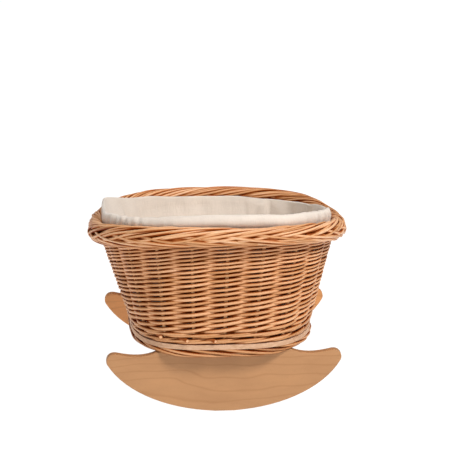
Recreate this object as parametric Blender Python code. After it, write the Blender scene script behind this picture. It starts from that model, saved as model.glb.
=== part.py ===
"""Wicker bassinet on two beech rockers.

Metres, +Z up. The origin is on the floor under the middle of the basket, +Y runs along the
basket towards its low foot end, and +X runs across it, along the rockers.
"""
import math

import bmesh
import bpy
import numpy as np
from mathutils.geometry import tessellate_polygon

GAP = 0.0003                  # left between pieces that touch

# rockers
ROCKER_THICKNESS = 0.012
ROCKER_SPACING = 0.3116       # between the two rockers' middle planes
RUNNER_RX = 0.1572            # the curved edge is part of an ellipse
RUNNER_RZ = 0.096
RUNNER_ARC = math.radians(70.0)
FLAT_HALF = 0.012             # short flat at the lowest point
TIP_RADIUS = 0.0096
TIP_HEIGHT = 0.0775
SHOULDER_HEIGHT = 0.0790      # top edge where it passes under the foot border
SHOULDER_HALF = 0.085
LAND_HALF = 0.048             # middle of the top edge, which rises to the board
ROCKER_BEVEL = 0.0012

# basket, measured along the line through the middle of the stakes
STAKES = 26
STATIONS = 3 * STAKES         # points round each ring, a stake at every third
BASE_X = 0.0028               # the base stands this far off the rim's middle
BASE_RX, BASE_RY = 0.1115, 0.1765
TOP_RX, TOP_RY = 0.1445, 0.2053
BASE_SQUARENESS = 3.3         # exponent of the oval: 2 is an ellipse
TOP_SQUARENESS = 2.85
EGG = 0.05                    # the head end is this much wider at the rim
TWIST = 0.007                 # the stakes lean round by this part of a turn
WEAVE_HALF = 0.0043           # half the thickness of the woven wall
WALE_HALF = 0.0048
STAKE_RADIUS = 0.00225
HOLE_RADIUS = STAKE_RADIUS + 0.00035

FOOT_BOTTOM, FOOT_TOP = 0.0793, 0.0857
BOARD_BOTTOM, BOARD_TOP = 0.0860, 0.0920
BOARD_EDGE = 0.0058           # the board's edge outside the stakes
WALL_FOOT = 0.09215           # the stakes are upright below here and lean above it
WALE_TOP = 0.1087
SIDING_BOTTOM = 0.1090

# plaited rim: height of its middle is RIM_MID + RIM_SLOPE t + RIM_RISE t^2 along the basket
RIM_MID, RIM_SLOPE, RIM_RISE = 0.2065, -0.0194, 0.0119
RIM_UNDER = 0.0097
# section of the rim: outwards from the stakes, and up from its middle
RIM_SECTION = [(-0.0023, -0.0080), (-0.0005, -0.0097), (0.0090, -0.0097), (0.0160, -0.0082),
               (0.0204, -0.0042), (0.0217, 0.0005), (0.0198, 0.0052), (0.0155, 0.0086),
               (0.0097, 0.0097), (0.0040, 0.0086), (-0.0003, 0.0052), (-0.0023, 0.0000)]

# loose textiles
CLOTH = 0.0014
LINING_OUTSIDE = -0.0060      # outer face of the lining, inside the stakes
LINING_FLOOR = 0.0924
HEM_MID, HEM_SLOPE = 0.2310, -0.165
MATTRESS_EDGE = -0.0095
MATTRESS_BOTTOM, MATTRESS_TOP = 0.0942, 0.1142
MATTRESS_ROUND = 0.006

# screws that hold the board on the rockers
SCREW_X = 0.030
SCREW_HEAD_R, SCREW_SHANK_R = 0.0037, 0.00175
SCREW_LENGTH = 0.022
SCREW_CONE = 0.0022

WILLOW = ((0.66, 0.40, 0.22), 0.6)
BEECH = ((0.68, 0.42, 0.22), 0.5)
PLYWOOD = ((0.80, 0.60, 0.42), 0.65)
COTTON = ((0.86, 0.82, 0.76), 0.9)
STEEL = ((0.62, 0.62, 0.60), 0.3)


def clear_scene():
    for obj in list(bpy.data.objects):
        bpy.data.objects.remove(obj, do_unlink=True)


def material(name, look, metallic=0.0):
    colour, roughness = look
    mat = bpy.data.materials.new(name)
    mat.use_nodes = True
    shader = mat.node_tree.nodes["Principled BSDF"]
    shader.inputs["Base Color"].default_value = (*colour, 1.0)
    shader.inputs["Roughness"].default_value = roughness
    shader.inputs["Metallic"].default_value = metallic
    return mat


def finish(name, bm, look, metallic=0.0, origin=(0.0, 0.0, 0.0), smooth=True):
    """Turn a bmesh into an object whose origin is at the given point."""
    bmesh.ops.translate(bm, verts=bm.verts, vec=[-c for c in origin])
    bmesh.ops.recalc_face_normals(bm, faces=bm.faces)
    mesh = bpy.data.meshes.new(name)
    bm.to_mesh(mesh)
    bm.free()
    if smooth:
        mesh.shade_smooth()
        mesh.set_sharp_from_angle(angle=math.radians(40))
    mesh.materials.append(material(name, look, metallic))
    obj = bpy.data.objects.new(name, mesh)
    bpy.context.collection.objects.link(obj)
    obj.location = origin
    return obj


# ---- plan of the basket -------------------------------------------------------------------

def oval(rx, ry, power, start=0.0, egg=0.0):
    """Points spaced evenly round a superellipse, from the head end towards +X."""
    angle = np.linspace(-math.pi / 2, 1.5 * math.pi, 7201)
    c, s = np.cos(angle), np.sin(angle)
    r = (np.abs(c / rx) ** power + np.abs(s / ry) ** power) ** (-1 / power)
    x, y = r * c, r * s
    x = x * (1 - egg * y / ry)
    run = np.concatenate([[0], np.cumsum(np.hypot(np.diff(x), np.diff(y)))])
    want = ((np.arange(STATIONS) / STATIONS + start) % 1.0) * run[-1]
    return np.stack([np.interp(want, run, x), np.interp(want, run, y)], axis=1)


def outward(points):
    step = np.roll(points, -1, axis=0) - np.roll(points, 1, axis=0)
    normal = np.stack([step[:, 1], -step[:, 0]], axis=1)
    return normal / np.linalg.norm(normal, axis=1)[:, None]


def rim_height(y):
    t = y / TOP_RY
    return RIM_MID + RIM_SLOPE * t + RIM_RISE * t * t


BASE = oval(BASE_RX, BASE_RY, BASE_SQUARENESS) + np.array([BASE_X, 0.0])
TOP = oval(TOP_RX, TOP_RY, TOP_SQUARENESS, TWIST, EGG)
BASE_OUT, TOP_OUT = outward(BASE), outward(TOP)
WALL_TOP = rim_height(TOP[:, 1]) - RIM_UNDER - GAP


def column(j, z, out=0.0):
    """Point on the wall's column j at height z, moved outwards by out.

    The column is upright below the wall's foot, leans along the wall, and is upright above it.
    """
    f = min(1.0, max(0.0, (z - WALL_FOOT) / (WALL_TOP[j] - WALL_FOOT)))
    normal = BASE_OUT[j] + (TOP_OUT[j] - BASE_OUT[j]) * f
    normal = normal / np.linalg.norm(normal)
    x, y = BASE[j] + (TOP[j] - BASE[j]) * f + out * normal
    return (x, y, z)


def octagon(j, z, radius):
    x, y, z = column(j, z)
    step = math.pi / 4
    turn = math.atan2(BASE_OUT[j][1], BASE_OUT[j][0]) + math.pi
    return [(x + radius * math.cos(turn - step * i), y + radius * math.sin(turn - step * i), z)
            for i in range(8)]


# ---- rings that the stakes pass through -----------------------------------------------------

def ring_level(bm, height, inner, outer):
    """Vertices of one level: three rows round the ring and a hole round each stake."""
    rows = []
    for out in (inner, 0.5 * (inner + outer), outer):
        rows.append([bm.verts.new(column(j, height(j), out)) for j in range(STATIONS)])
    middle = rows[1]
    holes = []
    for j in range(0, STATIONS, 3):
        bm.verts.remove(middle[j])
        middle[j] = None
        holes.append([bm.verts.new(p) for p in octagon(j, height(j), HOLE_RADIUS)])
    return rows, holes


def ring_cap(bm, level):
    (inner, middle, outer), holes = level
    for k, hole in enumerate(holes):
        j = 3 * k
        a, b, c = (j - 1) % STATIONS, j, (j + 1) % STATIONS
        # round the cell, starting on its inner side, in the same turn as the octagon
        cell = [inner[b], inner[c], middle[c], outer[c], outer[b], outer[a], middle[a], inner[a]]
        for i in range(8):
            bm.faces.new([cell[i], cell[(i + 1) % 8], hole[(i + 1) % 8], hole[i]])
        d = (j + 2) % STATIONS
        bm.faces.new([inner[c], inner[d], middle[d], middle[c]])
        bm.faces.new([middle[c], middle[d], outer[d], outer[c]])


def join_loops(bm, low, high):
    count = len(low)
    for i in range(count):
        k = (i + 1) % count
        bm.faces.new([low[i], low[k], high[k], high[i]])


def ring_with_holes(name, heights, inner, outer, look):
    bm = bmesh.new()
    levels = [ring_level(bm, height, inner, outer) for height in heights]
    for below, above in zip(levels, levels[1:]):
        for row in (0, 2):
            join_loops(bm, below[0][row], above[0][row])
        for low, high in zip(below[1], above[1]):
            join_loops(bm, low, high)
    for middle_level in levels[1:-1]:
        for vert in middle_level[0][1]:
            if vert is not None:
                bm.verts.remove(vert)
    ring_cap(bm, levels[0])
    ring_cap(bm, levels[-1])
    return finish(name, bm, look)


def level_at(z):
    return lambda j: z


def part_way(f):
    return lambda j: SIDING_BOTTOM + f * (WALL_TOP[j] - GAP - SIDING_BOTTOM)


def make_rings():
    ring_with_holes("foot_border", [level_at(FOOT_BOTTOM), level_at(FOOT_TOP)],
                    -0.0050, WEAVE_HALF, WILLOW)
    ring_with_holes("lower_wale", [level_at(BOARD_TOP + GAP), level_at(WALE_TOP)],
                    -WALE_HALF, WALE_HALF, WILLOW)
    ring_with_holes("siding", [part_way(0.0), part_way(0.5), part_way(1.0)],
                    -WEAVE_HALF, WEAVE_HALF, WILLOW)


def make_rim():
    bm = bmesh.new()
    loops = []
    for out, up in RIM_SECTION:
        points = TOP + out * TOP_OUT
        heights = rim_height(TOP[:, 1]) + up
        loops.append([bm.verts.new((x, y, z)) for (x, y), z in zip(points, heights)])
    for a, b in zip(loops, loops[1:] + loops[:1]):
        join_loops(bm, a, b)
    finish("rim_border", bm, WILLOW)


def make_stakes():
    for k in range(STAKES):
        j = 3 * k
        bm = bmesh.new()
        heights = (FOOT_BOTTOM, WALL_FOOT, WALL_TOP[j] - GAP)
        loops = [[bm.verts.new(p) for p in octagon(j, z, STAKE_RADIUS)] for z in heights]
        for low, high in zip(loops, loops[1:]):
            join_loops(bm, low, high)
        bm.faces.new(loops[0])
        bm.faces.new(loops[-1])
        finish("stake_%02d" % (k + 1), bm, WILLOW, origin=column(j, WALL_FOOT))


# ---- board ------------------------------------------------------------------------------------

def make_board(cutter):
    edge = [column(j, BOARD_BOTTOM, BOARD_EDGE)[:2] for j in range(STATIONS)]
    loops = [edge]
    for j in range(0, STATIONS, 3):
        loops.append([p[:2] for p in octagon(j, BOARD_BOTTOM, HOLE_RADIUS)])
    triangles = tessellate_polygon([[(x, y, 0.0) for x, y in loop] for loop in loops])
    bm = bmesh.new()
    sides = []
    for z in (BOARD_BOTTOM, BOARD_TOP):
        verts = [[bm.verts.new((x, y, z)) for x, y in loop] for loop in loops]
        flat = [v for loop in verts for v in loop]
        for tri in triangles:
            bm.faces.new([flat[i] for i in tri])
        sides.append(verts)
    for low, high in zip(*sides):
        join_loops(bm, low, high)
    board = finish("base_board", bm, PLYWOOD)
    cut_with(board, cutter)


def cut_with(obj, cutter):
    cut = obj.modifiers.new("screw_holes", "BOOLEAN")
    cut.operation = "DIFFERENCE"
    cut.solver = "EXACT"
    cut.object = cutter


# ---- rockers ----------------------------------------------------------------------------------

def bezier(p0, p1, p2, p3, count):
    points = []
    for i in range(count + 1):
        t = i / count
        w = ((1 - t) ** 3, 3 * t * (1 - t) ** 2, 3 * t * t * (1 - t), t ** 3)
        points.append(tuple(sum(w[k] * p[axis] for k, p in enumerate((p0, p1, p2, p3)))
                            for axis in (0, 1)))
    return points


def rocker_half():
    """Outline of the +X half, from the middle of the runner up to the middle of the top edge."""
    points = [(FLAT_HALF, 0.0)]
    steps = 16
    for i in range(2, steps + 1):
        a = RUNNER_ARC * i / steps
        points.append((RUNNER_RX * math.sin(a), RUNNER_RZ * (1 - math.cos(a))))
    # the tip's circle touches the end of the curved edge
    slope = math.atan2(-RUNNER_RX * math.cos(RUNNER_ARC), RUNNER_RZ * math.sin(RUNNER_ARC))
    tip_x = points[-1][0] - TIP_RADIUS * math.cos(slope)
    tip_z = TIP_HEIGHT - TIP_RADIUS
    for i in range(1, 8):
        a = slope + (math.pi / 2 - slope) * i / 7
        points.append((tip_x + TIP_RADIUS * math.cos(a), tip_z + TIP_RADIUS * math.sin(a)))
    dip = bezier((tip_x - 0.003, TIP_HEIGHT - 0.0001), (0.116, 0.0725), (0.099, 0.0722),
                 (SHOULDER_HALF, SHOULDER_HEIGHT), 8)
    points += dip
    points += [(LAND_HALF + 0.004, SHOULDER_HEIGHT), (LAND_HALF + 0.0012, SHOULDER_HEIGHT + 0.001),
               (LAND_HALF, SHOULDER_HEIGHT + 0.003), (LAND_HALF, FOOT_TOP)]
    return points


def make_rocker(name, y, cutter):
    half = rocker_half()
    outline = half + [(-x, z) for x, z in reversed(half)]
    bm = bmesh.new()
    front, back = y - ROCKER_THICKNESS / 2, y + ROCKER_THICKNESS / 2
    near = [bm.verts.new((BASE_X + x, front, z)) for x, z in outline]
    face = bm.faces.new(near)
    grown = bmesh.ops.extrude_face_region(bm, geom=[face])
    moved = [g for g in grown["geom"] if isinstance(g, bmesh.types.BMVert)]
    bmesh.ops.translate(bm, verts=moved, vec=(0.0, back - front, 0.0))
    rocker = finish(name, bm, BEECH, origin=(BASE_X, y, 0.0))
    bevel = rocker.modifiers.new("soft_edges", "BEVEL")
    bevel.width = ROCKER_BEVEL
    bevel.segments = 2
    bevel.limit_method = "ANGLE"
    bevel.angle_limit = math.radians(50)
    cut_with(rocker, cutter)


# ---- screws -----------------------------------------------------------------------------------

def turned(bm, profile, x, y, sides):
    """Add a solid turned round the upright line at x, y; the profile runs from axis to axis."""
    rings = []
    for r, z in profile:
        if r == 0.0:
            rings.append([bm.verts.new((x, y, z))])
            continue
        rings.append([bm.verts.new((x + r * math.cos(2 * math.pi * i / sides),
                                    y + r * math.sin(2 * math.pi * i / sides), z))
                      for i in range(sides)])
    for low, high in zip(rings, rings[1:]):
        for i in range(sides):
            k = (i + 1) % sides
            quad = [low[i % len(low)], low[k % len(low)], high[k % len(high)], high[i % len(high)]]
            bm.faces.new(list(dict.fromkeys(quad)))


def screw_places():
    for side, y in (("head", -ROCKER_SPACING / 2), ("foot", ROCKER_SPACING / 2)):
        for hand, x in (("left", BASE_X - SCREW_X), ("right", BASE_X + SCREW_X)):
            yield "screw_%s_%s" % (side, hand), x, y


def make_screws():
    top = BOARD_TOP - 0.0001
    for name, x, y in screw_places():
        bm = bmesh.new()
        turned(bm, [(0.0, top - SCREW_LENGTH), (SCREW_SHANK_R, top - SCREW_LENGTH + 0.003),
                    (SCREW_SHANK_R, top - SCREW_CONE), (SCREW_HEAD_R, top),
                    (0.0016, top), (0.0, top - 0.0012)], x, y, 16)
        finish(name, bm, STEEL, 1.0, origin=(x, y, top))


def make_screw_cutter():
    bm = bmesh.new()
    shank, head = SCREW_SHANK_R + 0.0004, SCREW_HEAD_R + 0.0004
    bottom = BOARD_TOP - SCREW_LENGTH - 0.001
    for _, x, y in screw_places():
        turned(bm, [(0.0, bottom), (shank, bottom), (shank, BOARD_TOP - SCREW_CONE - 0.0002),
                    (head, BOARD_TOP), (head, BOARD_TOP + 0.002), (0.0, BOARD_TOP + 0.002)],
               x, y, 16)
    cutter = finish("screw_hole_cutter", bm, STEEL)
    cutter.hide_render = True
    cutter.display_type = "WIRE"
    return cutter


# ---- lining and mattress ------------------------------------------------------------------------

def every_other():
    return range(0, STATIONS, 2)


def hem_height(j):
    y = TOP[j][1]
    return HEM_MID + HEM_SLOPE * y


def make_lining():
    bm = bmesh.new()
    loops = []
    for out, low in ((LINING_OUTSIDE, LINING_FLOOR), (LINING_OUTSIDE - CLOTH, LINING_FLOOR + CLOTH)):
        heights = (level_at(low), lambda j: WALL_TOP[j], hem_height)
        loops.append([[bm.verts.new(column(j, height(j), out)) for j in every_other()]
                      for height in heights])
    outside, inside = loops
    for wall in loops:
        for low, high in zip(wall, wall[1:]):
            join_loops(bm, low, high)
        bm.faces.new(wall[0])
    join_loops(bm, outside[-1], inside[-1])
    finish("lining", bm, COTTON, origin=(0.0, 0.0, LINING_FLOOR))


def make_mattress():
    bm = bmesh.new()
    loops = []
    corner = [(math.radians(a), sign) for sign, turn in ((-1, (90, 45, 0)), (1, (0, 45, 90)))
              for a in turn]
    for angle, sign in corner:
        inset = MATTRESS_EDGE - MATTRESS_ROUND * (1 - math.cos(angle))
        edge = MATTRESS_BOTTOM if sign < 0 else MATTRESS_TOP
        z = edge - sign * MATTRESS_ROUND * (1 - math.sin(angle))
        loops.append([bm.verts.new((*column(j, WALL_FOOT, inset)[:2], z)) for j in every_other()])
    for low, high in zip(loops, loops[1:]):
        join_loops(bm, low, high)
    bm.faces.new(loops[0])
    bm.faces.new(loops[-1])
    finish("mattress", bm, COTTON, origin=(0.0, 0.0, MATTRESS_BOTTOM))


clear_scene()
screw_cutter = make_screw_cutter()
make_rocker("rocker_head", -ROCKER_SPACING / 2, screw_cutter)
make_rocker("rocker_foot", ROCKER_SPACING / 2, screw_cutter)
make_board(screw_cutter)
make_rings()
make_stakes()
make_rim()
make_screws()
make_lining()
make_mattress()
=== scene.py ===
import math

import bmesh
import bpy
import numpy as np
from mathutils import Matrix, Vector


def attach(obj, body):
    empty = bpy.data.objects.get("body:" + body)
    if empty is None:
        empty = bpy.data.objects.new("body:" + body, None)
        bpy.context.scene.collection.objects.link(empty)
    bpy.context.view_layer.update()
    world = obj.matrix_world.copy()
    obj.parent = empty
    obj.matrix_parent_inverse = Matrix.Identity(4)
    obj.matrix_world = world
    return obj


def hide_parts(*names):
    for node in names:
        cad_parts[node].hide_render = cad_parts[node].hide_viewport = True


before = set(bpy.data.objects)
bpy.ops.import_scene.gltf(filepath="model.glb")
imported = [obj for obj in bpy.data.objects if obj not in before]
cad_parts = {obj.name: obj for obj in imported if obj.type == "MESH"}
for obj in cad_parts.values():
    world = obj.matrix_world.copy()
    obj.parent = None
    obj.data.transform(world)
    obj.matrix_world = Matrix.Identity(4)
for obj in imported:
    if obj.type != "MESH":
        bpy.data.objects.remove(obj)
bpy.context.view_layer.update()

# ---- plan of the basket, as in the CAD -------------------------------------------------------

STAKES = 26
BASE_X = 0.0028
BASE_RX, BASE_RY, BASE_SQUARENESS = 0.1115, 0.1765, 3.3
TOP_RX, TOP_RY, TOP_SQUARENESS = 0.1445, 0.2053, 2.85
EGG, TWIST = 0.05, 0.007
BOARD_TOP, WALL_FOOT, WALE_TOP = 0.0920, 0.09215, 0.1087
# height of the rim's middle is RIM_MID + RIM_SLOPE t + RIM_RISE t^2 along the basket
RIM_MID, RIM_SLOPE, RIM_RISE, RIM_UNDER = 0.2065, -0.0194, 0.0119, 0.0100
FINE = 24 * STAKES            # points round each ring

random = np.random.default_rng(7)


def oval(rx, ry, power, start=0.0, egg=0.0):
    """Points spaced evenly round a superellipse, from the head end towards +X."""
    angle = np.linspace(-math.pi / 2, 1.5 * math.pi, 7201)
    c, s = np.cos(angle), np.sin(angle)
    r = (np.abs(c / rx) ** power + np.abs(s / ry) ** power) ** (-1 / power)
    x, y = r * c, r * s
    x = x * (1 - egg * y / ry)
    run = np.concatenate([[0], np.cumsum(np.hypot(np.diff(x), np.diff(y)))])
    want = ((np.arange(FINE) / FINE + start) % 1.0) * run[-1]
    return np.stack([np.interp(want, run, x), np.interp(want, run, y)], axis=1)


def outward(points):
    """The way out at each point of a ring."""
    step = np.roll(points, -1, axis=0) - np.roll(points, 1, axis=0)
    normal = np.stack([step[:, 1], -step[:, 0]], axis=1)
    return normal / np.linalg.norm(normal, axis=1)[:, None]


BASE = oval(BASE_RX, BASE_RY, BASE_SQUARENESS) + np.array([BASE_X, 0.0])
TOP = oval(TOP_RX, TOP_RY, TOP_SQUARENESS, TWIST, EGG)
BASE_OUT, TOP_OUT = outward(BASE), outward(TOP)


def round_the_ring(table, s):
    """Read a table that runs once round the ring at s, counted in stakes."""
    at = np.asarray(s, dtype=float) % STAKES * (FINE / STAKES)
    low = np.floor(at).astype(int) % FINE
    part = (at - np.floor(at))[..., None] if table.ndim > 1 else at - np.floor(at)
    return table[low] * (1 - part) + table[(low + 1) % FINE] * part


def catmull_rom(a, b, c, d, f):
    """The smooth curve through a, b, c and d, at part f of the way from b to c."""
    return 0.5 * (2 * b + (c - a) * f + (2 * a - 5 * b + 4 * c - d) * f * f
                  + (3 * b - a - 3 * c + d) * f ** 3)


def at_stakes(values, s):
    """A smooth curve once round the ring through one value for each stake."""
    values = np.asarray(values, float)
    i, f = np.floor(s).astype(int), s - np.floor(s)
    return catmull_rom(*(values[(i + k) % STAKES] for k in (-1, 0, 1, 2)), f)


def rim_height(y):
    """Height of the rim's middle line at a place along the basket."""
    t = y / TOP_RY
    return RIM_MID + RIM_SLOPE * t + RIM_RISE * t * t


WALL_TOP = rim_height(TOP[:, 1]) - RIM_UNDER


def wall(s, z, out=0.0):
    """Points of the wall at s stakes round, at height z, moved outwards by out."""
    s, z, out = np.broadcast_arrays(np.asarray(s, float), z, out)
    f = np.clip((z - WALL_FOOT) / (round_the_ring(WALL_TOP, s) - WALL_FOOT), 0, 1)[..., None]
    low, high = round_the_ring(BASE, s), round_the_ring(TOP, s)
    n0, n1 = round_the_ring(BASE_OUT, s), round_the_ring(TOP_OUT, s)
    normal = n0 + (n1 - n0) * f
    normal = normal / np.linalg.norm(normal, axis=-1, keepdims=True)
    xy = low + (high - low) * f + out[..., None] * normal
    return np.concatenate([xy, z[..., None]], axis=-1)


def wall_face(s):
    """The way out of the wall at s stakes round."""
    normal = round_the_ring(TOP_OUT, s)
    return np.concatenate([normal, np.zeros_like(normal[..., :1])], axis=-1)


# ---- camera, floor and light ------------------------------------------------------------------

FOCAL = 3000 / 450                # in picture widths
PITCH, YAW, ROLL = math.radians(13.0), math.radians(2.40), math.radians(-0.66)
AIM = Vector((0.0125, -0.006, 0.2061))
DISTANCE = 3.915


def make_camera():
    """Aim a long lens at the head end, a little from above."""
    bpy.context.scene.view_settings.view_transform = "Standard"
    forward = Vector((math.sin(YAW) * math.cos(PITCH), math.cos(YAW) * math.cos(PITCH),
                      -math.sin(PITCH)))
    side = Vector((math.cos(YAW), -math.sin(YAW), 0.0))
    up = side.cross(forward)
    right = side * math.cos(ROLL) + up * math.sin(ROLL)
    up = up * math.cos(ROLL) - side * math.sin(ROLL)
    data = bpy.data.cameras.new("camera")
    data.sensor_width = 36.0
    data.lens = 36.0 * FOCAL
    data.clip_end = 50.0
    camera = bpy.data.objects.new("camera", data)
    bpy.context.collection.objects.link(camera)
    turn = Matrix((right, up, -forward)).transposed()
    camera.matrix_world = Matrix.Translation(AIM - forward * DISTANCE) @ turn.to_4x4()
    bpy.context.scene.camera = camera


def area_light(name, place, target, size, power):
    """A round soft light aimed at a target."""
    data = bpy.data.lights.new(name, "AREA")
    data.shape = "DISK"
    data.size = size
    data.energy = power
    lamp = bpy.data.objects.new(name, data)
    bpy.context.collection.objects.link(lamp)
    lamp.location = place
    lamp.rotation_euler = (Vector(target) - Vector(place)).to_track_quat("-Z", "Y").to_euler()


def make_stage():
    """A plain white floor, a dim white surround and three soft lights."""
    bm = bmesh.new()
    bmesh.ops.create_grid(bm, x_segments=1, y_segments=1, size=14.0)
    mesh = bpy.data.meshes.new("floor")
    bm.to_mesh(mesh)
    bm.free()
    floor = bpy.data.objects.new("floor", mesh)
    bpy.context.collection.objects.link(floor)
    floor.location = (0, 0, -0.0002)
    mat = bpy.data.materials.new("floor_white")
    mat.use_nodes = True
    shader = mat.node_tree.nodes["Principled BSDF"]
    shader.inputs["Base Color"].default_value = (0.12, 0.12, 0.12, 1)
    shader.inputs["Roughness"].default_value = 0.95
    shader.inputs["Specular IOR Level"].default_value = 0.0
    shader.inputs["Emission Color"].default_value = (1, 1, 1, 1)
    shader.inputs["Emission Strength"].default_value = 1.0
    mesh.materials.append(mat)
    world = bpy.data.worlds.new("studio")
    world.use_nodes = True
    world.node_tree.nodes["Background"].inputs["Color"].default_value = (1, 1, 1, 1)
    world.node_tree.nodes["Background"].inputs["Strength"].default_value = 0.16
    bpy.context.scene.world = world
    area_light("key", (1.1, -1.5, 1.9), (0, 0, 0.12), 0.8, 46)
    area_light("fill", (-1.7, -1.4, 0.9), (0, 0, 0.12), 1.2, 7)
    area_light("top", (0.0, 0.5, 2.2), (0, 0, 0.15), 1.2, 17)


# ---- rods -------------------------------------------------------------------------------------

PAINTED_CREVICE_SHADE = 0.95                # painted shade: how dark the sides of the rods are painted, where they lie against others
INNER_PAINTED_SHADE_SHARE = 0.5           # the painted shade on the inner half of a rod's sides is this much less dark


class Rods:
    """Many round rods gathered in one mesh, with their tone, their run and their painted shade kept for
    the material.
    """

    def __init__(self):
        self.points, self.faces, self.tone, self.run, self.painted_shade = [], [], [], [], []
        self.count = 0

    def add(self, path, radius, tone=0.5, sides=8, painted_shade=0.0, face=None, behind=PAINTED_CREVICE_SHADE):
        """Add a rod along a path of points, closed with a flat cut at each end.

        face is the way out of the weave. deep is painted shade on the rod's outer side, 1 where it lies
        in the dark of the weave, and behind is the same for its inner side. Its flanks get painted
        shade too.
        """
        path = np.asarray(path, float)
        count = len(path)
        radius = np.broadcast_to(radius, count)
        along = np.gradient(path, axis=0)
        along /= np.linalg.norm(along, axis=1)[:, None]
        side = np.cross(along, [0.0, 0.0, 1.0])
        weak = np.linalg.norm(side, axis=1) < 0.3
        side[weak] = np.cross(along[weak], [0.0, 1.0, 0.0])
        side /= np.linalg.norm(side, axis=1)[:, None]
        up = np.cross(side, along)
        turn = np.arange(sides) * 2 * math.pi / sides
        ring = (np.cos(turn)[None, :, None] * side[:, None, :]
                + np.sin(turn)[None, :, None] * up[:, None, :])
        points = path[:, None, :] + radius[:, None, None] * ring
        self.points.append(points.reshape(-1, 3))
        i = np.arange(count - 1)[:, None] * sides
        k = np.arange(sides)[None, :]
        nxt = (k + 1) % sides
        quads = np.stack([i + k, i + sides + k, i + sides + nxt, i + nxt], axis=-1)
        self.faces += [tuple(q) for q in (quads.reshape(-1, 4) + self.count)]
        last = self.count + (count - 1) * sides
        self.faces.append(tuple(self.count + j for j in range(sides)))
        self.faces.append(tuple(last + j for j in reversed(range(sides))))
        steps = np.linalg.norm(np.diff(path, axis=0), axis=1)
        run = np.concatenate([[0], np.cumsum(steps)])
        self.run.append(np.repeat(run, sides))
        self.tone.append(np.full(count * sides, tone))
        shade = np.repeat(np.broadcast_to(painted_shade, count)[:, None], sides, axis=1)
        # painted shade on the flanks of a rod, where it lies against others, and on the side that lies
        # in the dark of the weave
        if face is not None:
            turned = np.sum(ring * face[:, None, :], axis=-1)
            inner = np.broadcast_to(behind, count)[:, None]
            painted_flank_shade = PAINTED_CREVICE_SHADE * np.clip((0.86 - np.abs(turned)) / 0.58, 0, 1)
            painted_flank_shade = painted_flank_shade * np.where(turned > 0, 1.0, INNER_PAINTED_SHADE_SHARE)
            shade = np.maximum(np.where(turned > 0, shade, inner), painted_flank_shade)
        self.painted_shade.append(shade.reshape(-1))
        self.count += count * sides

    def build(self, name, mat, body, slot, *nodes):
        """Make one object of all the rods, in place of the named CAD nodes."""
        mesh = bpy.data.meshes.new(name)
        mesh.from_pydata(np.concatenate(self.points).tolist(), [], self.faces)
        for key, parts in (("tone", self.tone), ("run", self.run), ("painted_shade", self.painted_shade)):
            layer = mesh.attributes.new(key, "FLOAT", "POINT")
            layer.data.foreach_set("value", np.concatenate(parts).astype(np.float32))
        mesh.materials.append(mat)
        mesh.shade_smooth()
        mesh.set_sharp_from_angle(angle=math.radians(50))
        obj = bpy.data.objects.new(name, mesh)
        bpy.context.collection.objects.link(obj)
        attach(obj, body)
        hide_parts(*nodes)
        return obj


def waves(at, sizes):
    """Smooth unevenness along a rod: a few sines of random phase, each (period, height)."""
    total = np.zeros_like(at)
    for period, height in sizes:
        total += height * np.sin(2 * math.pi * at / period + random.uniform(0, 2 * math.pi))
    return total


# ---- materials --------------------------------------------------------------------------------

class Nodes:
    """Short hand for building a material's nodes."""

    def __init__(self, name):
        self.mat = bpy.data.materials.new(name)
        self.mat.use_nodes = True
        self.tree = self.mat.node_tree
        self.shader = self.tree.nodes["Principled BSDF"]

    def node(self, kind, **settings):
        made = self.tree.nodes.new(kind)
        for key, value in settings.items():
            setattr(made, key, value)
        return made

    def link(self, a, b):
        self.tree.links.new(a, b)

    def put(self, value, socket):
        if isinstance(value, bpy.types.NodeSocket):
            self.link(value, socket)
        else:
            socket.default_value = value

    def attribute(self, name):
        return self.node("ShaderNodeAttribute", attribute_name=name).outputs["Fac"]

    def math(self, operation, a, b=0.0, clamp=False):
        made = self.node("ShaderNodeMath", operation=operation, use_clamp=clamp)
        self.put(a, made.inputs[0])
        self.put(b, made.inputs[1])
        return made.outputs[0]

    def mix(self, factor, a, b):
        made = self.node("ShaderNodeMix", data_type="RGBA")
        self.put(factor, made.inputs[0])
        self.put((*a, 1) if isinstance(a, tuple) else a, made.inputs[6])
        self.put((*b, 1) if isinstance(b, tuple) else b, made.inputs[7])
        return made.outputs[2]

    def ramp(self, factor, stops):
        made = self.node("ShaderNodeValToRGB")
        self.put(factor, made.inputs[0])
        elements = made.color_ramp.elements
        while len(elements) < len(stops):
            elements.new(0.5)
        for element, (place, colour) in zip(elements, stops):
            element.position = place
            element.color = (*colour, 1)
        return made.outputs["Color"]

    def noise(self, vector, scale, detail=3.0, rough=0.5):
        made = self.node("ShaderNodeTexNoise")
        self.put(vector, made.inputs["Vector"])
        made.inputs["Scale"].default_value = scale
        made.inputs["Detail"].default_value = detail
        made.inputs["Roughness"].default_value = rough
        return made.outputs["Fac"]

    def with_painted_shade(self, colour, painted_shade):
        """The colour under painted shade in the dark of the weave: darker and redder, as where light
        has gone from rod to rod.
        """
        painted_bounce = self.node("ShaderNodeGamma")
        self.put(colour, painted_bounce.inputs["Color"])
        self.put(self.math("ADD", self.math("MULTIPLY", painted_shade, 1.7), 1.0), painted_bounce.inputs["Gamma"])
        return self.mix(self.math("MULTIPLY", painted_shade, 0.45, True), painted_bounce.outputs[0],
                        (0.02, 0.004, 0.001))

    def scaled(self, vector, scale):
        made = self.node("ShaderNodeVectorMath", operation="MULTIPLY")
        self.put(vector, made.inputs[0])
        made.inputs[1].default_value = scale
        return made.outputs[0]

    def position(self):
        return self.node("ShaderNodeTexCoord").outputs["Object"]

    def bump(self, height, strength, distance):
        made = self.node("ShaderNodeBump")
        made.inputs["Strength"].default_value = strength
        made.inputs["Distance"].default_value = distance
        self.put(height, made.inputs["Height"])
        self.link(made.outputs[0], self.shader.inputs["Normal"])


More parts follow.
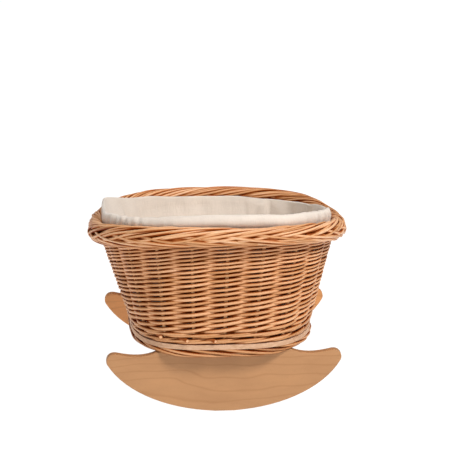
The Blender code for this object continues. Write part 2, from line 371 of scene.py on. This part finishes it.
def willow_material(name):
    """Boiled and peeled willow: each rod its own tone, streaked along its length."""
    n = Nodes(name)
    tone, run, painted_shade = n.attribute("tone"), n.attribute("run"), n.attribute("painted_shade")
    place = n.position()
    # slow changes along a rod, set off by the rod's own tone
    along = n.node("ShaderNodeCombineXYZ")
    n.link(n.math("MULTIPLY", run, 18.0), along.inputs[0])
    n.link(n.math("MULTIPLY", tone, 37.0), along.inputs[1])
    slow = n.noise(along.outputs[0], 1.0, 2.0)
    streak = n.noise(n.scaled(place, (420.0, 420.0, 900.0)), 1.0, 2.0, 0.6)
    fleck = n.noise(place, 650.0, 2.0, 0.6)
    level = n.math("ADD", n.math("MULTIPLY", tone, 0.55), n.math("MULTIPLY", slow, 0.5))
    level = n.math("ADD", level, n.math("MULTIPLY", streak, 0.25))
    colour = n.ramp(n.math("SUBTRACT", level, 0.15, True),
                    [(0.10, (0.42, 0.165, 0.055)), (0.40, (0.66, 0.320, 0.130)),
                     (0.70, (0.84, 0.468, 0.243)), (0.95, (0.94, 0.64, 0.42))])
    colour = n.mix(n.math("MULTIPLY", n.math("GREATER_THAN", fleck, 0.66), 0.18),
                   colour, (0.30, 0.13, 0.05))
    # painted shade: the colour is darkened by the rods' painted shade, and the specular is turned down
    # with it
    n.link(n.with_painted_shade(colour, painted_shade), n.shader.inputs["Base Color"])
    n.link(n.math("ADD", n.math("MULTIPLY", slow, 0.25), 0.34), n.shader.inputs["Roughness"])
    n.link(n.math("MULTIPLY", n.math("SUBTRACT", 0.9, painted_shade, True), 0.45),
           n.shader.inputs["Specular IOR Level"])
    n.bump(n.math("ADD", n.math("MULTIPLY", streak, 0.7), n.math("MULTIPLY", fleck, 0.3)),
           0.5, 0.0004)
    return n.mat


def stake_material(name):
    """The stakes, seen only between the rods: the same willow in the wall's shade."""
    n = Nodes(name)
    streak = n.noise(n.scaled(n.position(), (300.0, 300.0, 30.0)), 1.0, 3.0, 0.6)
    colour = n.ramp(streak, [(0.3, (0.66, 0.330, 0.140)), (0.7, (0.90, 0.520, 0.260))])
    n.link(colour, n.shader.inputs["Base Color"])
    n.shader.inputs["Roughness"].default_value = 0.6
    n.shader.inputs["Specular IOR Level"].default_value = 0.2
    n.bump(streak, 0.4, 0.0004)
    return n.mat


# ---- woven wall -------------------------------------------------------------------------------

ROWS = 19.5                   # rods above each other in front of a stake, from wale to rim
THINNING = 0.23               # the rods taper, so the rows close up towards the rim
PER_STAKE = 10                # points along a rod for each stake that it passes
STROKE_TILT = 0.07            # a rod climbs faster where it passes in front
STROKE = 0.0034               # how far a rod passes in front of and behind the stakes
ROD_SHARE = 0.335             # a rod's radius as a share of the spacing of the rows


def wall_height(s, w):
    """Height of row w of the wall at s stakes round, and the spacing of the rows there."""
    t = w / ROWS
    tall = round_the_ring(WALL_TOP, s) - WALE_TOP + 0.001
    z = WALE_TOP - 0.0005 + tall * ((1 + THINNING) * t - THINNING * t * t)
    pitch = tall * (1 + THINNING - 2 * THINNING * t) / ROWS
    return z, pitch


def weave_wall(mat):
    """French randing: one rod for each stake, each passing before one stake and behind the next."""
    rods = Rods()
    for start in range(STAKES):
        s = start + np.arange(int(2 * ROWS * PER_STAKE) + 1) / PER_STAKE
        phase = math.pi * (s - start)
        w = 0.5 * (s - start) - STROKE_TILT * np.sin(phase) + waves(s, ((7.3, 0.05), (3.1, 0.05)))
        z, pitch = wall_height(s, np.clip(w, 0, ROWS))
        out = -STROKE * np.cos(phase) + waves(s, ((2.7, 0.0003),))
        radius = pitch * (ROD_SHARE + waves(s, ((11.0, 0.012), (1.9, 0.008))))
        # painted shade on a rod's outer side where it passes behind a stake, and on its inner side
        # where it passes in front
        painted_shade = np.clip(2.0 * (np.cos(phase) - 0.25), 0, 1)
        behind = np.clip(2.0 * (-np.cos(phase) - 0.25), 0, 1)
        rods.add(wall(s, z, out), radius, random.uniform(0.25, 0.85), 10, painted_shade, wall_face(s),
                 behind)
    return rods.build("woven_wall", mat, "cradle", "willow", "siding")


# ---- lower wale -------------------------------------------------------------------------------

WALE_SEAMS = (-2.6, 13.0)     # where each round begins, in stakes
WALE_OVERLAP = 1.5            # and how far it runs on past its beginning
WALE_STROKE = 0.0033
# where the butts of rods stand out, in stakes round, and their heights
CUT_ENDS = ((-2.02, 0.1008), (-1.18, 0.0985), (-0.30, 0.0978))
BUTT_RADIUS, GRAIN_RADIUS = 0.0025, 0.0019


def weave_wale(mat):
    """Rounds of three-rod wale: each rod passes before two stakes, rising, and behind one."""
    rods = Rods()
    lap = (WALE_TOP - BOARD_TOP) / len(WALE_SEAMS)
    size = lap / 4
    for level, seam in enumerate(WALE_SEAMS):
        for rod in range(3):
            s = seam + rod + np.arange(int((STAKES + WALE_OVERLAP) * PER_STAKE)) / PER_STAKE
            phase = (s - seam - rod + 2.0) % 3.0
            middle = np.cos(math.pi * (phase - 1) / 1.5)
            out = WALE_STROKE * np.clip(1.7 * middle + 0.75, -1.0, 1.0)
            rise = np.where(phase < 2, phase, 2 * (3 - phase))
            z = BOARD_TOP + level * lap + size * (1.05 + rise) + waves(s, ((5.1, 0.0003),))
            # painted shade on a rod's outer side where it passes behind the stakes, and on its inner
            # side where it passes in front
            painted_shade = np.clip(-0.9 * out / WALE_STROKE, 0, 0.9)
            rods.add(wall(s, z, out), size * (1.02 + waves(s, ((9.0, 0.05), (2.2, 0.03)))),
                     random.uniform(0.25, 0.8), 10, painted_shade, wall_face(s), 0.9 - painted_shade)
    for place, height in CUT_ENDS:
        cut_end(rods, place, height)
    return rods.build("woven_wale", mat, "cradle", "willow", "lower_wale")


def cut_end(rods, s, z):
    """The butt of a rod, cut off outside the weave, with its pale end grain."""
    path = wall([s - 0.30, s - 0.09, s], [z + 0.0010, z + 0.0004, z], [0.0005, 0.0036, 0.0086])
    # painted shade: the butt is darkened all over by 0.45
    rods.add(path, BUTT_RADIUS, 0.3, 12, 0.45)
    step = (path[2] - path[1]) / np.linalg.norm(path[2] - path[1])
    rods.add([path[2] - 0.0001 * step, path[2] + 0.0003 * step], GRAIN_RADIUS, 0.8, 12)


# ---- foot border ------------------------------------------------------------------------------

# a tail's way: stakes on from its stake, height and distance outside the stakes in mm
FOOT_STROKE = [(-0.3, 86.0, 0.0), (0.0, 84.8, 3.0), (0.4, 83.2, 4.8), (0.9, 80.8, 5.6),
               (1.4, 78.6, 5.0), (1.9, 77.0, 2.6), (2.3, 76.6, -0.8)]
TAIL_POINTS, TAIL_RADIUS = 30, 0.0020
# along the sides they hang down less, and change over in this length
SIDE_END, SIDE_SAG, SIDE_BLEND = 0.152, 0.5, 0.018
# the rods under the tails: distance outside the stakes, and height
CORES, CORE_RADIUS = ((-0.0022, 0.0834), (0.0005, 0.0822)), 0.0022


def smooth_path(points, count):
    """Catmull-Rom curve through points of any size, as an array."""
    points = np.asarray(points, float)
    ends = np.concatenate([[2 * points[0] - points[1]], points, [2 * points[-1] - points[-2]]])
    t = np.linspace(0, len(points) - 1, count)
    i = np.minimum(t.astype(int), len(points) - 2)
    f = (t - i)[:, None]
    return catmull_rom(ends[i], ends[i + 1], ends[i + 2], ends[i + 3], f)


def weave_foot(mat):
    """The stakes' tails are turned down and to the right under the board, each over the last."""
    rods = Rods()
    track = smooth_path(FOOT_STROKE, TAIL_POINTS)
    top = FOOT_STROKE[1][1]
    for k in range(STAKES):
        s = k + track[:, 0] + random.uniform(-0.10, 0.10)
        ends = (np.abs(round_the_ring(BASE, s)[:, 1]) - SIDE_END) / SIDE_BLEND
        sag = (top - track[:, 1]) * (SIDE_SAG + (1 - SIDE_SAG) * np.clip(ends, 0, 1))
        z = (top - sag) / 1000 + random.uniform(-0.0003, 0.0003)
        taper = np.linspace(1.05, 0.75, TAIL_POINTS) * random.uniform(0.9, 1.1)
        # painted shade on the end of each tail, where it runs in under the next ones
        rods.add(wall(s, z, track[:, 2] / 1000), TAIL_RADIUS * taper, random.uniform(0.0, 0.65),
                 10, np.clip((track[:, 0] - 1.9) * 0.9, 0, 0.6), wall_face(s))
    s = np.arange(STAKES * 8 + 1) / 8
    for out, z in CORES:
        # painted shade: the rods under the tails are darkened by 0.9
        rods.add(wall(s, z, out), CORE_RADIUS, 0.5, 8, 0.9)
    return rods.build("woven_foot", mat, "cradle", "willow", "foot_border")


# ---- plaited rim ------------------------------------------------------------------------------

RIM_OUT = 0.0097              # the rim's middle line is this far outside the stakes
RIM_FLATTEN = 0.93            # height of its section over width
RIM_ROD = 0.0020
RIM_CORES, CORE_OFF, CORE_ROD, CORE_TURN = 6, 0.0040, 0.0030, 0.4     # rods that fill it
ROD_TURN = 0.48               # the three rods of a strand lie this far apart round the rim
# a strand's way: stakes on from its start, angle up from outwards in degrees, distance from the
# rim's middle in mm; it starts under the other strands and ends tucked into the rim
STRAND_UP = [(-0.40, -12, 4.5), (-0.05, 0, 6.6), (0.35, 12, 8.9), (0.8, 26, 9.7), (1.3, 44, 9.6),
             (1.8, 66, 9.4), (2.3, 94, 9.2), (2.8, 126, 8.9), (3.3, 158, 8.2), (3.8, 190, 6.6),
             (4.2, 214, 4.5)]
STRAND_DOWN = [(-0.40, 16, 4.5), (-0.05, 4, 6.6), (0.35, -10, 8.9), (0.8, -25, 9.7),
               (1.3, -43, 9.5), (1.8, -64, 9.2), (2.3, -90, 8.8), (2.8, -118, 8.0),
               (3.3, -146, 6.4), (3.8, -170, 4.5)]
STRAND_POINTS = 56
# how much higher than a round plait the strands are piled, in mm, at each stake
PILED = (2.0, 1.8, 4.0, 6.5, 6.5, 5.0, 3.0, 1.5, 0.0, 0.0, 0.0, -0.6, -1.0,
         -1.0, -0.6, 0.0, 0.0, 0.0, 1.0, 2.0, 4.0, 6.0, 7.0, 7.5, 7.0, 4.5)
PILE_BASE = 0.0105            # the height of a round plait over its middle line


def rim_stretch(s, up):
    """How far the rim's round section is drawn out above and below its middle line."""
    return RIM_FLATTEN * (1 + np.where(up > 0, at_stakes(PILED, s) / 1000 / PILE_BASE, 0.0))


def rim_point(s, radius, angle):
    """Points about the rim's middle line: angle 0 faces outwards, a quarter turn faces up."""
    middle, normal = round_the_ring(TOP, s), round_the_ring(TOP_OUT, s)
    radius = np.broadcast_to(radius, np.shape(s))
    xy = middle + normal * (RIM_OUT + radius * np.cos(angle))[..., None]
    up = radius * np.sin(angle)
    z = rim_height(middle[..., 1]) + up * rim_stretch(s, up)
    return np.concatenate([xy, z[..., None]], axis=-1)


def lay_strand(rods, start, way):
    """Lay the three rods of one strand side by side along its way."""
    track = smooth_path(way, STRAND_POINTS)
    size = RIM_ROD * random.uniform(0.94, 1.06) * np.linspace(1.05, 0.86, STRAND_POINTS)
    shown = np.clip(1.15 - np.abs(track[:, 0] - 1.9) / 1.75, 0, 1)
    # painted shade where the strand lies hidden under the others
    painted_shade = 0.95 * (1 - np.clip(shown * 4, 0, 1))
    loose = random.uniform(-0.12, 0.12)
    for rod in (-1, 0, 1):
        s = start + loose + track[:, 0] + 0.04 * rod
        fan = ROD_TURN * rod * (1 + waves(s, ((3.3, 0.12),))) + random.uniform(-0.07, 0.07)
        angle = np.radians(track[:, 1]) + fan + waves(s, ((2.4, 0.04),))
        radius = track[:, 2] / 1000 + waves(s, ((1.7, 0.0003),)) + random.uniform(-0.0008, 0.0006)
        face = rim_point(s, 1.0, angle) - rim_point(s, 0.0, angle)
        rods.add(rim_point(s, radius, angle), size * random.uniform(0.92, 1.08),
                 random.uniform(0.25, 1.0), 10, painted_shade, face)


def weave_rim(mat):
    """A plait of three-rod strands: from each stake one strand rises over the rim and tucks in
    behind it, and one falls under it."""
    rods = Rods()
    for k in range(STAKES):
        lay_strand(rods, k, STRAND_UP)
        lay_strand(rods, k + 0.5, STRAND_DOWN)
    s = np.arange(STAKES * 6 + 1) / 6
    for i in range(RIM_CORES):
        angle = 2 * math.pi * i / RIM_CORES + s * CORE_TURN
        # painted shade: the rods that fill the rim are darkened by 0.95
        rods.add(rim_point(s, CORE_OFF, angle), CORE_ROD, 0.2, 8, 0.95)
    return rods.build("plaited_rim", mat, "cradle", "willow", "rim_border")


# ---- lining and mattress ----------------------------------------------------------------------

CLOTH = 0.0010
LINING_COLUMNS = 16 * STAKES
LINING_OUT = -0.0068          # the wall of the lining, outside the stakes
LINING_FLOOR = 0.0931
FLOOR_RINGS = (0.06, 0.3, 0.55, 0.8, 0.92)
WALL_RINGS, HEM_RINGS, FALL_RINGS = 19, 12, 10
WALL_CLEAR, FALL_CLEAR = 0.0128, 0.0119     # kept off the rim's middle line
HEM_MID, HEM_SLOPE = 0.2296, -0.163         # the hem slopes down towards the foot end
# how the hem hangs, in mm, at each stake: above its sloping line, and outside the stakes
HEM_RISE = (0.0, -0.8, -1.0, -0.5, -0.5, -2.0, -3.0, -3.0, -4.5, -5.0, -4.5, -1.5, 1.5,
            3.0, 3.6, 5.0, 6.0, 8.5, 5.0, 2.0, 0.0, -1.0, -1.0, -1.5, -2.2, 0.5)
HEM_LEAN = (-3.4, -3.4, -3.4, -3.2, -2.6, -1.5, -1.0, -2.0, -3.8, -4.2, -4.2, -4.2, -4.2,
            -4.2, -4.2, -4.0, 1.5, 9.0, 5.0, 2.0, 0.5, -1.5, -3.0, -3.4, -3.4, -3.4)


def cotton_material(name, colour):
    """Plain-weave cotton: fine crossing threads, slubs and a soft sheen."""
    n = Nodes(name)
    place = n.position()
    slow = n.noise(place, 22.0, 3.0)
    slub = n.noise(n.scaled(place, (60.0, 60.0, 1400.0)), 1.0, 2.0)
    warp = n.noise(n.scaled(place, (1500.0, 1500.0, 70.0)), 1.0, 2.0)
    thread = n.math("ADD", n.math("MULTIPLY", slub, 0.5), n.math("MULTIPLY", warp, 0.5))
    shade = n.math("ADD", n.math("MULTIPLY", slow, 0.5), n.math("MULTIPLY", thread, 0.5))
    dark = tuple(c * 0.86 for c in colour)
    light = tuple(min(1.0, c * 1.06) for c in colour)
    n.link(n.ramp(shade, [(0.3, dark), (0.7, light)]), n.shader.inputs["Base Color"])
    n.shader.inputs["Roughness"].default_value = 0.92
    n.shader.inputs["Specular IOR Level"].default_value = 0.2
    n.shader.inputs["Sheen Weight"].default_value = 0.25
    n.shader.inputs["Sheen Roughness"].default_value = 0.5
    crumple = n.noise(n.scaled(place, (95.0, 95.0, 22.0)), 1.0, 3.0, 0.55)
    n.bump(n.math("ADD", n.math("MULTIPLY", thread, 0.12), crumple), 0.6, 0.0022)
    return n.mat


FOLDS, FOLD_DEPTH = 21, 0.0046
PLEAT, PLEAT_WIDTH, PLEAT_DEPTH = 8.3, 0.22, 0.0050     # a pleat stands inwards here
EARS = ((22.2, 1.7), (4.0, 1.4))       # where the cloth is bunched at the ears, and how widely
CREASE, CREASE_MEAN = 0.0011, 1.7      # depth of the creases there, and what they are set back


def soft_folds(s):
    """Folds that hang down the cloth: rounded ridges of uneven height and spacing."""
    drift = s + 0.5 * np.sin(2 * math.pi * s / STAKES * 3) + 0.35 * np.sin(2 * math.pi * s / STAKES * 7)
    ridge = np.abs(np.sin(math.pi * drift * FOLDS / STAKES)) ** 0.9
    height = 0.55 + 0.45 * np.sin(2 * math.pi * s / STAKES * 5 + 1.0)
    return ridge * height + 0.3 * waves(s, ((STAKES / 31, 0.5), (STAKES / 43, 0.3)))


def off_the_rim(s, z, out, middle, radius):
    """Move points at height z and out from the stakes clear of a tube round the rim's middle."""
    stretch = rim_stretch(s, z - middle)
    across, up = out - RIM_OUT, (z - middle) / stretch
    grow = np.maximum(1.0, radius / np.hypot(across, up))
    return middle + up * grow * stretch, RIM_OUT + across * grow


def bunched(s, f):
    """Creases of the bunched cloth at the two ears, that fan out below the hem."""
    total = np.zeros_like(s)
    for centre, reach in EARS:
        d = (s - centre + STAKES / 2) % STAKES - STAKES / 2
        creases = np.sin(12.0 * d + 2.2 * f) + 0.7 * np.sin(21.0 * d - 3.0 * f + 1.0)
        total += np.exp(-(d / reach) ** 2) * creases
    return total


def lofted(rings, closed=True):
    """A form through rings of points: the first is closed flat, and so is the last if closed."""
    bm = bmesh.new()
    loops = [[bm.verts.new(p) for p in ring] for ring in rings]
    for a, b in zip(loops, loops[1:]):
        for i in range(len(a)):
            k = (i + 1) % len(a)
            bm.faces.new([a[i], a[k], b[k], b[i]])
    bm.faces.new(list(reversed(loops[0])))
    if closed:
        bm.faces.new(loops[-1])
    bmesh.ops.recalc_face_normals(bm, faces=bm.faces)
    return bm


def make_lining(mat):
    """A sewn tub of cotton: a floor, a wall that follows the basket and a turned hem."""
    s = np.arange(LINING_COLUMNS) / LINING_COLUMNS * STAKES
    hem = HEM_MID + HEM_SLOPE * round_the_ring(TOP, s)[:, 1] + at_stakes(HEM_RISE, s) / 1000
    hem = hem + waves(s, ((STAKES / 11, 0.0005), (STAKES / 19, 0.0003))) + 0.0006 * bunched(s, 1.0)
    lean = at_stakes(HEM_LEAN, s) / 1000
    pleat = PLEAT_DEPTH * np.exp(-((s - PLEAT) / PLEAT_WIDTH) ** 2)
    shoulder = round_the_ring(WALL_TOP, s)
    folds = soft_folds(s)
    middle = rim_height(round_the_ring(TOP, s)[:, 1])
    rows = []
    for f in FLOOR_RINGS:
        ring = wall(s, LINING_FLOOR, LINING_OUT)
        ring[:, 0] = BASE_X + (ring[:, 0] - BASE_X) * f
        ring[:, 1] *= f
        rows.append(ring)
    for f in np.linspace(0, 1, WALL_RINGS):
        z = LINING_FLOOR + (shoulder - LINING_FLOOR) * f
        rows.append(wall(s, z, LINING_OUT - FOLD_DEPTH * f ** 1.3 * folds))
    for f in np.linspace(0.1, 1.0, HEM_RINGS):
        z = shoulder + (hem - shoulder) * f
        out = LINING_OUT + (lean - LINING_OUT) * f ** 1.2 - FOLD_DEPTH * folds * (1 - 0.85 * f)
        out = out - CREASE * f * (CREASE_MEAN + bunched(s, f)) - pleat * f
        rows.append(wall(s, *off_the_rim(s, z, out, middle, WALL_CLEAR)))
    bulge = 0.0020 + 0.0055 * np.clip(-round_the_ring(TOP, s)[:, 1] / TOP_RY, 0, 1) ** 2
    fall = np.clip(0.008 + 0.7 * (hem - middle), 0.006, 0.020)
    for f in np.linspace(0.0, 1.0, FALL_RINGS):
        z = hem + 0.0008 * math.sin(math.pi * min(1.0, 4 * f)) - fall * max(0.0, f - 0.05)
        out = lean + 0.0006 + bulge * math.sin(math.pi * f ** 0.7) - 0.0007 * folds
        out = out + CREASE * (bunched(s, 1.0 + 1.5 * f) - CREASE_MEAN * (1 - f))
        rows.append(wall(s, *off_the_rim(s, z, out, middle, FALL_CLEAR)))
    obj = cloth_object("cotton_lining", lofted(rows, closed=False), mat, CLOTH)
    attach(obj, "lining")
    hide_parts("lining")
    return obj


def cloth_object(name, bm, mat, thickness):
    """A sheet with its own thickness and smooth shading."""
    mesh = bpy.data.meshes.new(name)
    bm.to_mesh(mesh)
    bm.free()
    mesh.materials.append(mat)
    mesh.shade_smooth()
    obj = bpy.data.objects.new(name, mesh)
    bpy.context.collection.objects.link(obj)
    solid = obj.modifiers.new("thickness", "SOLIDIFY")
    solid.thickness = thickness
    solid.offset = 0.0
    return obj


# ---- mattress ---------------------------------------------------------------------------------

PAD_BOTTOM, PAD_TOP, PAD_EDGE = 0.0943, 0.1100, -0.0150
PAD_CHAMFER = 0.003
PAD_COLUMNS = 104
PAD_VOXEL = 0.005
PAD_SWELL = 0.0045            # the wadding may push the cover out this far
PAD_GIVE = (0.3, 0.3, 1.0)    # the piping holds the outline
SWELL_FRAMES, SWELL_PRESSURE = 20, 4.0
PIPING = 0.0013
PIPING_REACH, PIPING_EVEN = 0.006, 5


def pad_ring(out, z):
    """A ring of the pad at height z."""
    s = np.arange(PAD_COLUMNS) / PAD_COLUMNS * STAKES
    return wall(s, z, out)


def make_mattress(mat):
    """A thin pad: its cover is blown up a little by the wadding, and piped along both seams."""
    low, high, cut = PAD_BOTTOM, PAD_TOP, PAD_CHAMFER
    bm = lofted([pad_ring(PAD_EDGE - cut, low), pad_ring(PAD_EDGE, low + cut),
                 pad_ring(PAD_EDGE, high - cut), pad_ring(PAD_EDGE - cut, high)])
    mesh = bpy.data.meshes.new("mattress_pad")
    bm.to_mesh(mesh)
    bm.free()
    pad = bpy.data.objects.new("mattress_pad", mesh)
    bpy.context.collection.objects.link(pad)
    remesh = pad.modifiers.new("remesh", "REMESH")
    remesh.mode = "VOXEL"
    remesh.voxel_size = PAD_VOXEL
    keep_result(pad)
    rest = read_points(pad.data)
    swell(pad)
    points = read_points(pad.data)
    moved = (points - rest) * PAD_GIVE
    far = np.linalg.norm(moved, axis=1, keepdims=True)
    points = rest + moved * np.minimum(1.0, PAD_SWELL / np.maximum(far, 1e-9))
    points[:, 2] = np.maximum(points[:, 2], low - 0.0003)
    pad.data.vertices.foreach_set("co", points.reshape(-1).astype(np.float32))
    even = pad.modifiers.new("even", "SMOOTH")
    even.iterations = 8
    soft = pad.modifiers.new("smooth", "SUBSURF")
    soft.levels = soft.render_levels = 1
    keep_result(pad)
    pad.data.materials.clear()
    pad.data.materials.append(mat)
    pad.data.shade_smooth()
    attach(pad, "mattress")
    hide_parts("mattress")
    for name, z in (("mattress_piping_top", high + 0.004), ("mattress_piping_bottom", low - 0.003)):
        piping = Rods()
        piping.add(piping_path(pad, z), PIPING, 0.5, 10)
        piping.build(name, mat, "mattress", "padding")


def piping_path(pad, z):
    """A closed line on the pad's surface, where it is nearest to a ring outside it at height z."""
    bpy.context.view_layer.update()
    s = np.arange(2 * PAD_COLUMNS) / (2 * PAD_COLUMNS) * STAKES
    hits = []
    for point in wall(s, z, PAD_EDGE + PIPING_REACH):
        point = Vector(point)
        hit = pad.closest_point_on_mesh(point)[1]
        hits.append(hit + (point - hit).normalized() * 0.4 * PIPING)
    hits = np.array(hits)
    near = range(-PIPING_EVEN, PIPING_EVEN + 1)
    hits = sum(np.roll(hits, k, axis=0) for k in near) / len(near)
    hits[:, 2] = np.maximum(hits[:, 2], PAD_BOTTOM + PIPING)
    return np.concatenate([hits, hits[:1]])


def keep_result(obj):
    """Replace the mesh by what its modifiers make of it."""
    bpy.context.view_layer.update()
    graph = bpy.context.evaluated_depsgraph_get()
    made = bpy.data.meshes.new_from_object(obj.evaluated_get(graph))
    obj.modifiers.clear()
    obj.data = made


def read_points(mesh):
    """The mesh's points as an array."""
    flat = np.empty(len(mesh.vertices) * 3, np.float32)
    mesh.vertices.foreach_get("co", flat)
    return flat.reshape(-1, 3).astype(float)


def swell(obj):
    """Blow the cover up like a cushion's."""
    cloth = obj.modifiers.new("cloth", "CLOTH")
    cloth.settings.use_pressure = True
    cloth.settings.uniform_pressure_force = SWELL_PRESSURE
    cloth.settings.effector_weights.gravity = 0.0
    scene = bpy.context.scene
    for frame_number in range(1, SWELL_FRAMES + 1):
        scene.frame_set(frame_number)
    keep_result(obj)
    scene.frame_set(1)


# ---- wood of the rockers and the board --------------------------------------------------------

def beech_material(name, colour):
    """Beech: growth lines in long flat arches, and short dark flecks along the grain."""
    n = Nodes(name)
    place = n.position()
    warp = n.noise(n.scaled(place, (6.0, 20.0, 16.0)), 1.0, 2.0)
    arch = n.node("ShaderNodeVectorMath", operation="LENGTH")
    n.link(n.scaled(place, (2.2, 9.0, 14.0)), arch.inputs[0])
    rings = n.math("ADD", n.math("MULTIPLY", arch.outputs["Value"], 95.0),
                   n.math("MULTIPLY", warp, 30.0))
    line = n.math("POWER", n.math("ADD", n.math("MULTIPLY", n.math("SINE", rings), 0.5), 0.5), 16.0)
    cloud = n.noise(n.scaled(place, (14.0, 60.0, 40.0)), 1.0, 4.0, 0.6)
    fleck = n.noise(n.scaled(place, (330.0, 900.0, 1300.0)), 1.0, 2.0, 0.5)
    dark = tuple(c * k for c, k in zip(colour, (0.92, 0.90, 0.88)))
    light = tuple(c * 1.08 for c in colour)
    shade = n.ramp(cloud, [(0.30, dark), (0.50, colour), (0.72, light)])
    shade = n.mix(n.math("MULTIPLY", line, 0.30), shade, (0.36, 0.150, 0.050))
    mark = n.math("MULTIPLY", n.math("SUBTRACT", fleck, 0.60), 5.0, True)
    shade = n.mix(n.math("MULTIPLY", mark, 0.22), shade, (0.33, 0.14, 0.050))
    n.link(shade, n.shader.inputs["Base Color"])
    n.link(n.math("ADD", n.math("MULTIPLY", cloud, 0.2), 0.40), n.shader.inputs["Roughness"])
    n.bump(n.math("ADD", cloud, n.math("MULTIPLY", fleck, 0.4)), 0.25, 0.0003)
    n.shader.inputs["Specular IOR Level"].default_value = 0.35
    return n.mat


def plywood_material(name):
    """Bare birch plywood: pale faces, thin darker glue lines along the edge."""
    n = Nodes(name)
    place = n.position()
    split = n.node("ShaderNodeSeparateXYZ")
    n.link(place, split.inputs[0])
    layer = n.math("SINE", n.math("MULTIPLY", split.outputs[2], 2 * math.pi / 0.0015))
    grain = n.noise(n.scaled(place, (160.0, 12.0, 500.0)), 1.0, 3.0)
    level = n.math("ADD", n.math("MULTIPLY", grain, 0.7), n.math("MULTIPLY", layer, 0.10))
    colour = n.ramp(level, [(0.25, (0.60, 0.34, 0.19)), (0.45, (0.74, 0.46, 0.29)),
                            (0.65, (0.83, 0.56, 0.38))])
    n.link(colour, n.shader.inputs["Base Color"])
    n.shader.inputs["Roughness"].default_value = 0.7
    n.bump(grain, 0.3, 0.0004)
    return n.mat


def steel_material(name):
    """Zinc-plated steel with fine turning marks."""
    n = Nodes(name)
    fine = n.noise(n.position(), 2500.0, 2.0)
    n.link(n.ramp(fine, [(0.3, (0.42, 0.42, 0.40)), (0.7, (0.66, 0.66, 0.63))]),
           n.shader.inputs["Base Color"])
    n.shader.inputs["Metallic"].default_value = 1.0
    n.link(n.math("ADD", n.math("MULTIPLY", fine, 0.2), 0.25), n.shader.inputs["Roughness"])
    return n.mat


def dress(nodes, mat):
    """Give carried-over CAD nodes their material."""
    for name in nodes:
        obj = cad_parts[name]
        for slot in obj.material_slots:
            slot.material = mat
        if not obj.material_slots:
            obj.data.materials.append(mat)


make_camera()
make_stage()
willow = willow_material("willow_rods")
weave_wall(willow)
weave_wale(willow)
weave_foot(willow)
weave_rim(willow)
make_lining(cotton_material("cotton", (0.80, 0.695, 0.600)))
make_mattress(cotton_material("quilted_cotton", (0.84, 0.76, 0.67)))
dress(["rocker_head"], beech_material("beech_head", (0.520, 0.262, 0.115)))
# painted light: the foot rocker's beech is painted lighter than the head rocker's, to make up for the
# basket's shadow on it
dress(["rocker_foot"], beech_material("beech_foot_painted_light", (0.665, 0.302, 0.110)))
dress(["base_board"], plywood_material("plywood"))
dress([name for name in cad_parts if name.startswith("screw")], steel_material("steel"))
dress([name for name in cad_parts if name.startswith("stake")], stake_material("stakes"))
